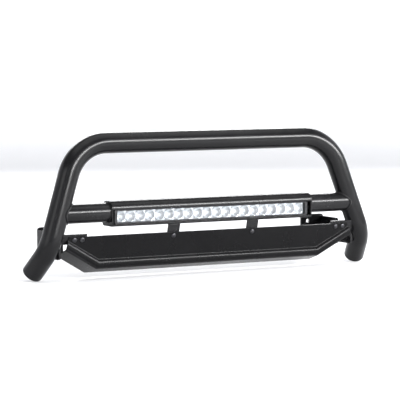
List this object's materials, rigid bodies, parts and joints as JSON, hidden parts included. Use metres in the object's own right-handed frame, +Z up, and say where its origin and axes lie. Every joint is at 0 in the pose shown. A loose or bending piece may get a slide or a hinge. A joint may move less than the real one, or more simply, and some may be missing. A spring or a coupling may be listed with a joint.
{
  "type": "front grille guard",
  "caption": "Bent-tube front grille guard with a recessed tilting LED light bar in its cross member, a folded skid plate below and bolt-on frame brackets.",
  "frame": {"origin": "midway between the rear faces of the two frame bracket feet, where the guard is bolted to the vehicle", "axes": "+X across the guard, +Y to the rear of the vehicle, +Z up; the guard faces -Y"},
  "size_m": [1.3052, 0.2093, 0.4751],
  "materials": {
    "powder_coat": "satin black powder coat",
    "plate_coat": "fine-texture black powder coat",
    "light_black": "black coated extrusion",
    "black_zinc": "black zinc",
    "bright_zinc": "bright zinc",
    "reflector": "bright metallised",
    "clear_lens": "clear polycarbonate",
    "seal": "matte",
    "board": "white solder mask"
  },
  "bodies": {
    "guard_frame": {"cross_tube_left": "powder_coat", "cross_tube_right": "powder_coat", "frame_bolt_lower_left": "bright_zinc", "frame_bolt_lower_right": "bright_zinc", "frame_bolt_upper_left": "bright_zinc", "frame_bolt_upper_right": "bright_zinc", "frame_bracket_left": "powder_coat", "frame_bracket_right": "powder_coat", "frame_nut_lower_left": "bright_zinc", "frame_nut_lower_right": "bright_zinc", "frame_nut_upper_left": "bright_zinc", "frame_nut_upper_right": "bright_zinc", "hoop_end_cap_left": "powder_coat", "hoop_end_cap_right": "powder_coat", "hoop_tube": "powder_coat", "leg_gusset_left": "powder_coat", "leg_gusset_right": "powder_coat", "light_bracket_left": "powder_coat", "light_bracket_right": "powder_coat", "light_bracket_screw_lower_left": "black_zinc", "light_bracket_screw_lower_right": "black_zinc", "light_bracket_screw_upper_left": "black_zinc", "light_bracket_screw_upper_right": "black_zinc", "light_pocket": "powder_coat", "pocket_end_plate_left": "powder_coat", "pocket_end_plate_right": "powder_coat", "skid_plate": "plate_coat", "skid_plate_bolt_hanger_left": "black_zinc", "skid_plate_bolt_hanger_right": "black_zinc", "skid_plate_bolt_inner_left": "black_zinc", "skid_plate_bolt_inner_right": "black_zinc", "skid_plate_bolt_outer_left": "black_zinc", "skid_plate_bolt_outer_right": "black_zinc", "skid_plate_hanger_left": "powder_coat", "skid_plate_hanger_right": "powder_coat", "skid_plate_nut_hanger_left": "bright_zinc", "skid_plate_nut_hanger_right": "bright_zinc", "skid_plate_nut_inner_left": "bright_zinc", "skid_plate_nut_inner_right": "bright_zinc", "skid_plate_nut_outer_left": "bright_zinc", "skid_plate_nut_outer_right": "bright_zinc", "skid_plate_tab_left": "powder_coat", "skid_plate_tab_right": "powder_coat"},
    "light_bar": {"breather_vent": "seal", "cable_gland": "seal", "led_board": "board", "lens_gasket": "seal", "light_bezel": "light_black", "light_end_cap_left": "light_black", "light_end_cap_right": "light_black", "light_housing": "light_black", "light_lens": "clear_lens", "light_pivot_bolt_left": "bright_zinc", "light_pivot_bolt_right": "bright_zinc", "light_pivot_washer_left": "bright_zinc", "light_pivot_washer_right": "bright_zinc", "reflector_strip": "reflector"}
  },
  "joints": [
    {"name": "light_tilt", "type": "hinge", "parent": "guard_frame", "child": "light_bar", "pos_m": [0, -0.172, 0.093], "axis": [1, 0, 0], "range_deg": [-8, 8]}
  ]
}
